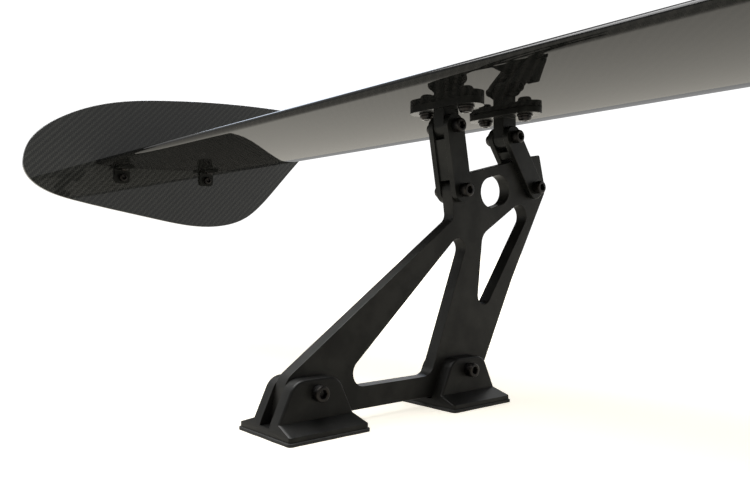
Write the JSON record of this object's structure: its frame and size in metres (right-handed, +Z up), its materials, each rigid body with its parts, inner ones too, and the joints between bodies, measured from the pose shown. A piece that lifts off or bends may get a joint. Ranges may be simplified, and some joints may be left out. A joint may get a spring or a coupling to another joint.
{
  "type": "racing rear wing",
  "caption": "Carbon racing rear wing with an end plate at each end, on two plate uprights with clevis feet, forked links and T-shaped wing brackets.",
  "frame": {"origin": "centre of the rectangle of threaded foot holes, on the underside of the metal feet, midway between the stands and between the front and rear foot bolts", "axes": "+X along the span towards the right end plate, +Y rearward to the trailing edge, +Z up"},
  "size_m": [1.622, 0.4549, 0.3215],
  "materials": {
    "carbon_wing": "clear-coated 2x2 twill carbon, mirror polished",
    "carbon_end_plate": "clear-coated 2x2 twill carbon",
    "carbon_inner": "raw moulded carbon tube",
    "nylon_rib": "machined nylon",
    "black_anodised_upright": "satin black anodised plate",
    "black_anodised_link": "satin black anodised",
    "black_anodised_bracket": "satin black anodised",
    "black_cast_foot": "satin black, bead blasted and anodised",
    "rubber_gasket": "matt",
    "aluminium_hardpoint": "machined",
    "black_zinc_insert": "turned, black zinc plated",
    "black_oxide_bolt": "black oxide, lightly oiled",
    "black_lock_nut": "black oxide",
    "black_washer": "black oxide"
  },
  "bodies": {
    "uprights": {"left_upright": "black_anodised_upright", "right_upright": "black_anodised_upright", "foot_bolts": "black_oxide_bolt", "foot_nuts": "black_lock_nut", "front_lower_bolts": "black_oxide_bolt", "front_lower_nuts": "black_lock_nut"},
    "front_links": {"left_front_link": "black_anodised_link", "right_front_link": "black_anodised_link", "front_upper_bolts": "black_oxide_bolt", "front_upper_nuts": "black_lock_nut"},
    "wing": {"wing_skin": "carbon_wing", "main_spar": "carbon_inner", "end_plate_inserts": "black_zinc_insert", "end_plate_screws": "black_oxide_bolt", "end_rib_screws": "black_oxide_bolt", "bracket_screws": "black_oxide_bolt", "bracket_washers": "black_washer", "left_end_rib": "nylon_rib", "left_end_plate": "carbon_end_plate", "left_front_end_tab": "black_anodised_bracket", "left_rear_end_tab": "black_anodised_bracket", "left_front_hardpoint": "aluminium_hardpoint", "left_rear_hardpoint": "aluminium_hardpoint", "left_front_wing_bracket": "black_anodised_bracket", "left_rear_wing_bracket": "black_anodised_bracket", "right_end_rib": "nylon_rib", "right_end_plate": "carbon_end_plate", "right_front_end_tab": "black_anodised_bracket", "right_rear_end_tab": "black_anodised_bracket", "right_front_hardpoint": "aluminium_hardpoint", "right_rear_hardpoint": "aluminium_hardpoint", "right_front_wing_bracket": "black_anodised_bracket", "right_rear_wing_bracket": "black_anodised_bracket"},
    "rear_links": {"left_rear_link": "black_anodised_link", "right_rear_link": "black_anodised_link", "rear_upper_bolts": "black_oxide_bolt", "rear_upper_nuts": "black_lock_nut", "rear_lower_bolts": "black_oxide_bolt", "rear_lower_nuts": "black_lock_nut"},
    "left_front_foot": {"left_front_foot": "black_cast_foot", "left_front_gasket": "rubber_gasket"},
    "left_rear_foot": {"left_rear_foot": "black_cast_foot", "left_rear_gasket": "rubber_gasket"},
    "right_front_foot": {"right_front_foot": "black_cast_foot", "right_front_gasket": "rubber_gasket"},
    "right_rear_foot": {"right_rear_foot": "black_cast_foot", "right_rear_gasket": "rubber_gasket"}
  },
  "joints": [
    {"name": "front_link_swing", "type": "hinge", "parent": "uprights", "child": "front_links", "pos_m": [0, 0.0664, 0.1525], "axis": [1, 0, 0], "range_deg": [-4, 4]},
    {"name": "wing_on_front_links", "type": "hinge", "parent": "front_links", "child": "wing", "pos_m": [0, 0.05817, 0.19827], "axis": [1, 0, 0], "range_deg": [-5.58, 5.58]},
    {"name": "rear_link_on_wing", "type": "hinge", "parent": "wing", "child": "rear_links", "pos_m": [0, 0.12397, 0.19666], "axis": [1, 0, 0], "range_deg": [-6.49, 6.49]},
    {"name": "left_front_foot_swivel", "type": "hinge", "parent": "uprights", "child": "left_front_foot", "pos_m": [-0.25, -0.06675, 0.023], "axis": [1, 0, 0], "range_deg": [-2.5, 2.5]},
    {"name": "left_rear_foot_swivel", "type": "hinge", "parent": "uprights", "child": "left_rear_foot", "pos_m": [-0.25, 0.06675, 0.023], "axis": [1, 0, 0], "range_deg": [-2.5, 2.5]},
    {"name": "right_front_foot_swivel", "type": "hinge", "parent": "uprights", "child": "right_front_foot", "pos_m": [0.25, -0.06675, 0.023], "axis": [1, 0, 0], "range_deg": [-2.5, 2.5]},
    {"name": "right_rear_foot_swivel", "type": "hinge", "parent": "uprights", "child": "right_rear_foot", "pos_m": [0.25, 0.06675, 0.023], "axis": [1, 0, 0], "range_deg": [-2.5, 2.5]}
  ],
  "couplings": [
    {"joint": "wing_on_front_links", "follows": "front_link_swing", "ratio": -1.3817},
    {"joint": "rear_link_on_wing", "follows": "front_link_swing", "ratio": 1.61}
  ]
}
